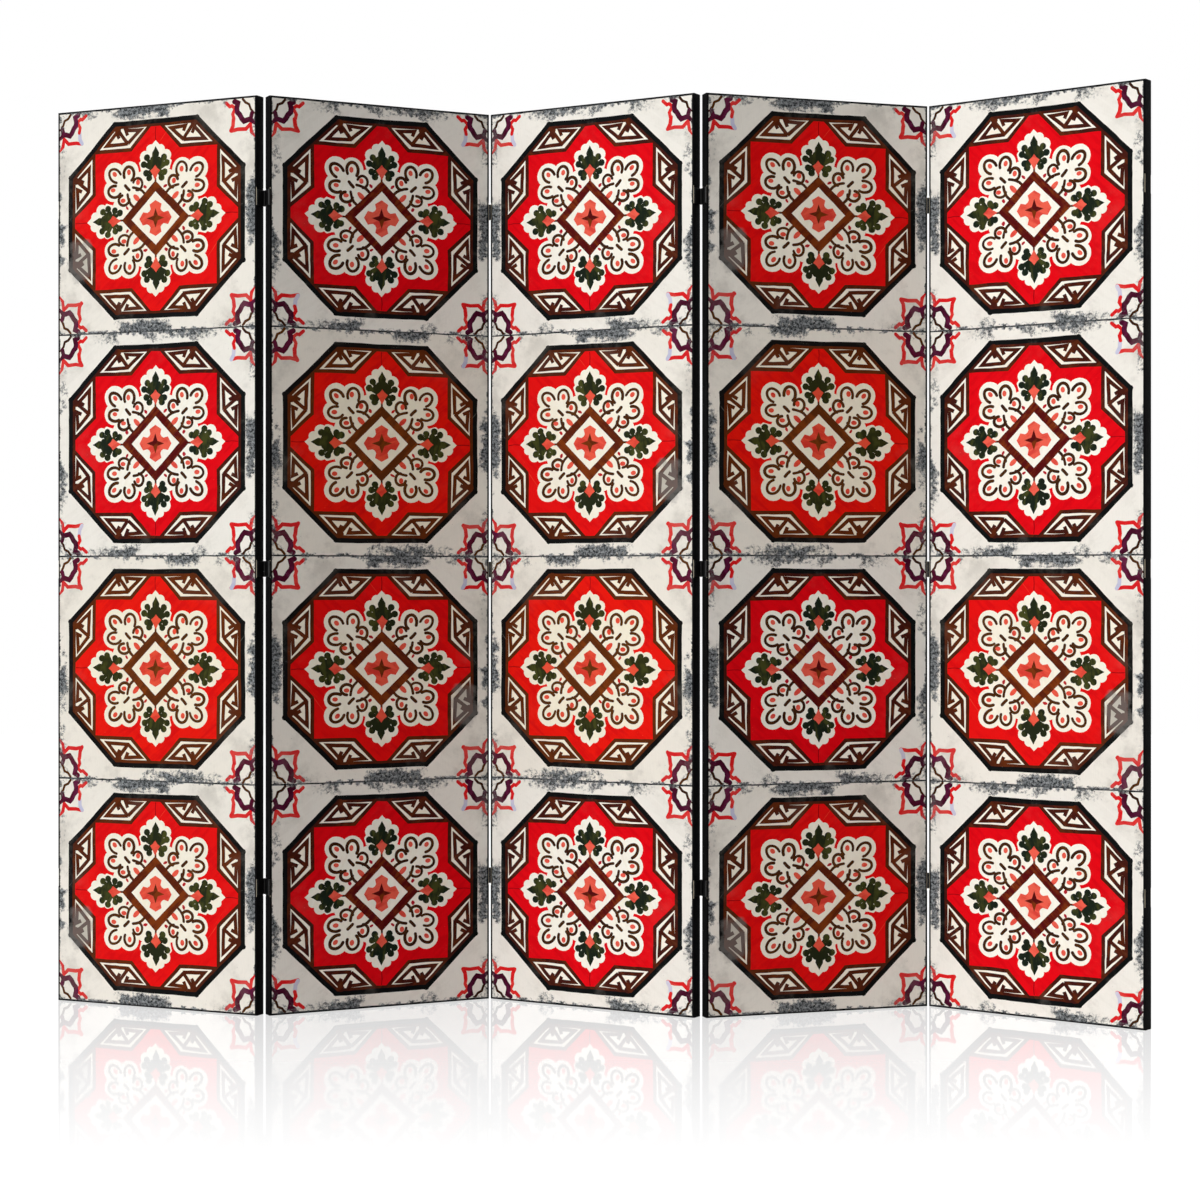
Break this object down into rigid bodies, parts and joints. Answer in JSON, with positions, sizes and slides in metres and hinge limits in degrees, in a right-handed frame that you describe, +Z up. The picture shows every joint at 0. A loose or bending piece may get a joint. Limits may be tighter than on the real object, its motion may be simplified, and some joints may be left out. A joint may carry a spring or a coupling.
{
  "type": "folding screen",
  "caption": "Tall folding screen: canvas-wrapped wooden frames joined edge to edge by two-way steel hinges, the front printed with a traditional tile ornament.",
  "frame": {"origin": "middle of the middle panel's foot, on the floor", "axes": "+X to the right along the row of panels as seen from the front, +Y towards the back, +Z up; the printed front looks towards -Y"},
  "size_m": [2.0482, 0.3913, 1.72],
  "materials": {
    "pine": "planed, unfinished",
    "printed_canvas": "matt printed canvas, black edges",
    "backing_cloth": "plain black weave",
    "staple_steel": "zinc-coated wire",
    "hinge_steel": "black, satin",
    "screw_steel": "black, satin",
    "pin_steel": "drawn wire"
  },
  "bodies": {
    "panel_1": {"panel_1_stile_left": "pine", "panel_1_stile_right": "pine", "panel_1_top_rail": "pine", "panel_1_bottom_rail": "pine", "panel_1_cross_bars": "pine", "panel_1_canvas": "printed_canvas", "panel_1_backing": "backing_cloth", "panel_1_staples": "staple_steel", "panel_1_hinge_leaves": "hinge_steel", "panel_1_hinge_screws": "screw_steel"},
    "panel_2": {"panel_2_stile_left": "pine", "panel_2_stile_right": "pine", "panel_2_top_rail": "pine", "panel_2_bottom_rail": "pine", "panel_2_cross_bars": "pine", "panel_2_canvas": "printed_canvas", "panel_2_backing": "backing_cloth", "panel_2_staples": "staple_steel", "panel_2_hinge_leaves": "hinge_steel", "panel_2_hinge_screws": "screw_steel"},
    "panel_3": {"panel_3_stile_left": "pine", "panel_3_stile_right": "pine", "panel_3_top_rail": "pine", "panel_3_bottom_rail": "pine", "panel_3_cross_bars": "pine", "panel_3_canvas": "printed_canvas", "panel_3_backing": "backing_cloth", "panel_3_staples": "staple_steel", "panel_3_hinge_leaves": "hinge_steel", "panel_3_hinge_screws": "screw_steel"},
    "panel_4": {"panel_4_stile_left": "pine", "panel_4_stile_right": "pine", "panel_4_top_rail": "pine", "panel_4_bottom_rail": "pine", "panel_4_cross_bars": "pine", "panel_4_canvas": "printed_canvas", "panel_4_backing": "backing_cloth", "panel_4_staples": "staple_steel", "panel_4_hinge_leaves": "hinge_steel", "panel_4_hinge_screws": "screw_steel"},
    "panel_5": {"panel_5_stile_left": "pine", "panel_5_stile_right": "pine", "panel_5_top_rail": "pine", "panel_5_bottom_rail": "pine", "panel_5_cross_bars": "pine", "panel_5_canvas": "printed_canvas", "panel_5_backing": "backing_cloth", "panel_5_staples": "staple_steel", "panel_5_hinge_leaves": "hinge_steel", "panel_5_hinge_screws": "screw_steel"},
    "fold_1_2_flaps": {"fold_1_2_hinge_flaps": "hinge_steel", "fold_1_2_hinge_pins": "pin_steel"},
    "fold_2_3_flaps": {"fold_2_3_hinge_flaps": "hinge_steel", "fold_2_3_hinge_pins": "pin_steel"},
    "fold_3_4_flaps": {"fold_3_4_hinge_flaps": "hinge_steel", "fold_3_4_hinge_pins": "pin_steel"},
    "fold_4_5_flaps": {"fold_4_5_hinge_flaps": "hinge_steel", "fold_4_5_hinge_pins": "pin_steel"}
  },
  "joints": [
    {"name": "fold_1_2_front", "type": "hinge", "parent": "panel_2", "child": "fold_1_2_flaps", "pos_m": [-0.60484, -0.10225, 0], "axis": [0, 0, -1], "range_deg": [-180, 0]},
    {"name": "fold_1_2_back", "type": "hinge", "parent": "fold_1_2_flaps", "child": "panel_1", "pos_m": [-0.61669, -0.07911, 0], "axis": [0, 0, -1], "range_deg": [-51.7, 128.3]},
    {"name": "fold_2_3_front", "type": "hinge", "parent": "panel_3", "child": "fold_2_3_flaps", "pos_m": [-0.20158, 0.10411, 0], "axis": [0, 0, 1], "range_deg": [-57.7, 122.3]},
    {"name": "fold_2_3_back", "type": "hinge", "parent": "fold_2_3_flaps", "child": "panel_2", "pos_m": [-0.21342, 0.12725, 0], "axis": [0, 0, 1], "range_deg": [-180, 0]},
    {"name": "fold_3_4_back", "type": "hinge", "parent": "panel_3", "child": "fold_3_4_flaps", "pos_m": [0.20158, -0.10411, 0], "axis": [0, 0, 1], "range_deg": [-48.8, 131.2]},
    {"name": "fold_3_4_front", "type": "hinge", "parent": "fold_3_4_flaps", "child": "panel_4", "pos_m": [0.2097, -0.12881, 0], "axis": [0, 0, 1], "range_deg": [-165, 0]},
    {"name": "fold_4_5_back", "type": "hinge", "parent": "panel_4", "child": "fold_4_5_flaps", "pos_m": [0.63191, 0.03738, 0], "axis": [0, 0, -1], "range_deg": [-180, 0]},
    {"name": "fold_4_5_front", "type": "hinge", "parent": "fold_4_5_flaps", "child": "panel_5", "pos_m": [0.64003, 0.01268, 0], "axis": [0, 0, -1], "range_deg": [-55.9, 124.1]}
  ]
}
